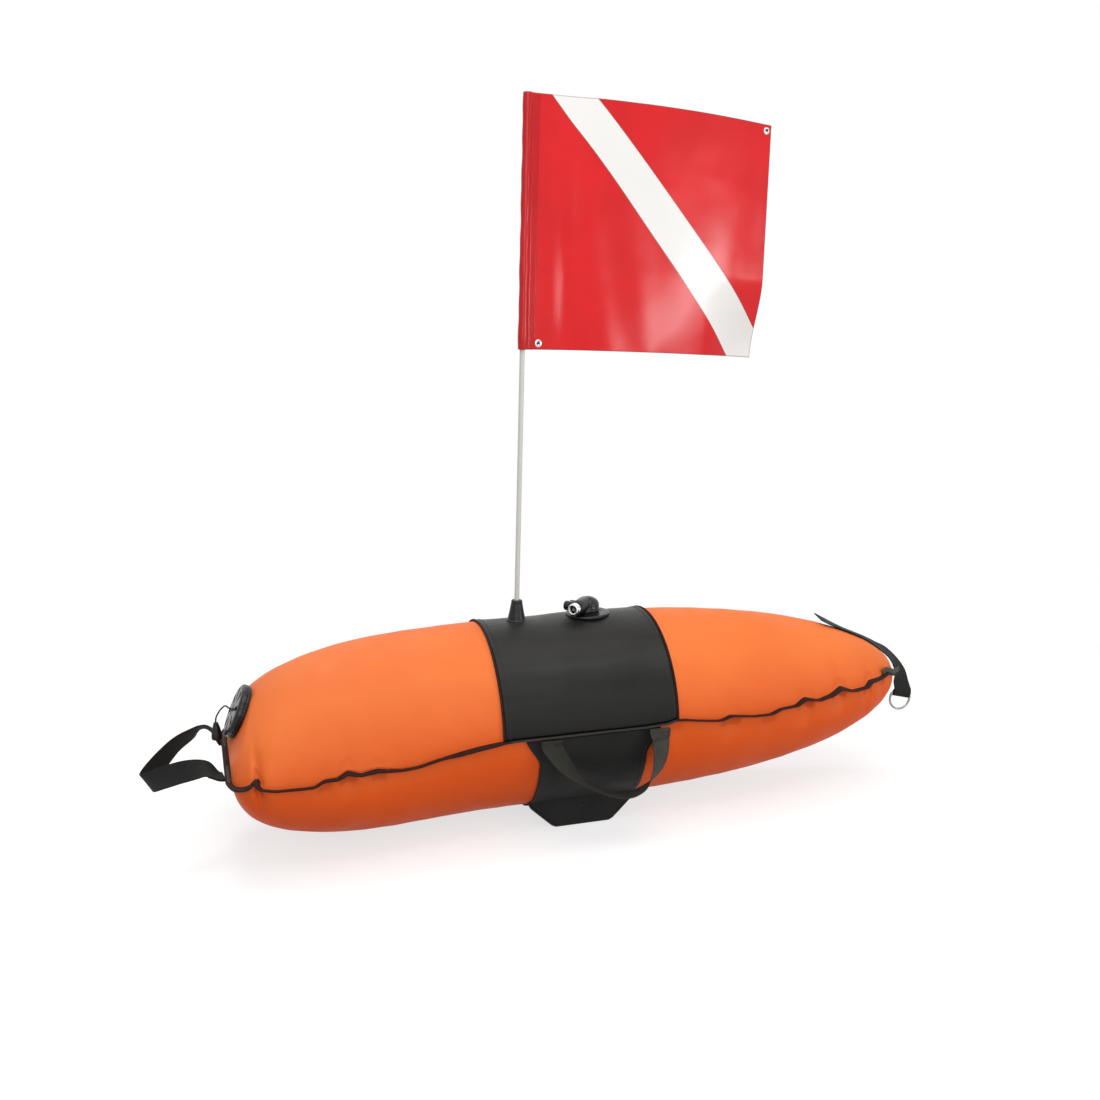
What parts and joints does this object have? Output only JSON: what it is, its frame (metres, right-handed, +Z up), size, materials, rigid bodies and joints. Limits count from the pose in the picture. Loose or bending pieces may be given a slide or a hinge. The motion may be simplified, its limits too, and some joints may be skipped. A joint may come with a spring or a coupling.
{
  "type": "dive flag float",
  "caption": "Torpedo-shaped inflatable float with a weighted keel pouch, a flag on a removable mast, a top inflator, a tail dump valve and carrying straps.",
  "frame": {"origin": "middle of the keel pouch's flat bottom", "axes": "+X towards the pointed nose, +Z up along the mast (which leans 2.6 degrees to the nose), +Y to the far side of the picture, away from the side handle"},
  "size_m": [1.0575, 0.293, 0.9134],
  "materials": {
    "orange_cover": "coated woven, satin",
    "black_fabric": "coated woven, matt",
    "webbing": "woven strap, slight sheen",
    "binding_tape": "grosgrain tape",
    "cord": "braided",
    "flag_red": "glossy vinyl, white diagonal stripe",
    "flag_hem": "glossy vinyl",
    "bladder_film": "clear film",
    "valve_plastic": "moulded, semi gloss",
    "inner_plastic": "moulded, matt",
    "rubber": "moulded, matt",
    "pole_white": "glass fibre rod, satin",
    "stainless": "polished wire",
    "chrome": "bright",
    "eyelet_metal": "pressed, bright",
    "ballast": "rough cast"
  },
  "bodies": {
    "hull": {"top_cover": "orange_cover", "bottom_cover": "orange_cover", "seam_binding": "binding_tape", "air_bladder": "bladder_film", "saddle_band": "black_fabric", "saddle_piping_front": "binding_tape", "saddle_piping_rear": "binding_tape", "keel_pouch": "black_fabric", "keel_weight": "ballast", "mast_boot": "rubber", "mast_socket": "inner_plastic", "inflator_flange": "valve_plastic", "inflator_gasket": "rubber", "inflator_nut": "inner_plastic", "dump_flange": "valve_plastic", "dump_gasket": "rubber", "dump_nut": "inner_plastic", "dump_cover": "valve_plastic", "dump_spring": "stainless", "nose_strap": "webbing"},
    "mast": {"flag_mast": "pole_white", "mast_tip_cap": "rubber"},
    "flag": {"flag_sheet": "flag_red", "flag_sleeve": "flag_hem", "flag_stiffener": "inner_plastic", "grommet_fly_top": "eyelet_metal", "grommet_hoist_bottom": "eyelet_metal"},
    "inflator_head": {"inflator_turret": "valve_plastic", "inflator_nipple": "chrome", "inflator_valve_core": "stainless"},
    "deflate_button": {"inflator_button": "rubber"},
    "dump_pull": {"dump_poppet": "inner_plastic", "dump_seal": "rubber", "pull_cord": "cord", "pull_toggle": "rubber"},
    "rear_handle": {"tail_handle": "webbing"},
    "carry_handle": {"side_handle": "webbing"},
    "tow_ring": {"nose_ring": "stainless"}
  },
  "joints": [
    {"name": "mast_pull", "type": "slide", "parent": "hull", "child": "mast", "axis": [0.046, 0, 0.9989], "range_m": [0, 0.06]},
    {"name": "flag_turn", "type": "hinge", "parent": "mast", "child": "flag", "pos_m": [-0.065, 0, 0.2628], "axis": [0.046, 0, 0.9989], "continuous": true},
    {"name": "inflator_swivel", "type": "hinge", "parent": "hull", "child": "inflator_head", "pos_m": [0.031, 0, 0.2654], "axis": [0, 0, 1], "range_deg": [-90, 90]},
    {"name": "deflate_press", "type": "slide", "parent": "inflator_head", "child": "deflate_button", "axis": [0.6947, -0.7193, 0], "range_m": [0, 0.002], "stiffness_N_per_m": 300},
    {"name": "dump_draw", "type": "slide", "parent": "hull", "child": "dump_pull", "axis": [-0.9041, 0, 0.4274], "range_m": [0, 0.004], "stiffness_N_per_m": 300, "deforming": ["dump_spring"]},
    {"name": "tail_handle_bend", "type": "hinge", "parent": "hull", "child": "rear_handle", "pos_m": [-0.4456, 0, 0.12], "axis": [0, 1, 0], "range_deg": [-45, 45], "stiffness_Nm_per_rad": 0.15},
    {"name": "side_handle_lift", "type": "hinge", "parent": "hull", "child": "carry_handle", "pos_m": [0.013, -0.1334, 0.143], "axis": [-1, 0, 0], "range_deg": [0, 150]},
    {"name": "nose_ring_swing", "type": "hinge", "parent": "hull", "child": "tow_ring", "pos_m": [0.5, 0, 0.101], "axis": [0.9673, 0, -0.2538], "range_deg": [-75, 75]}
  ]
}
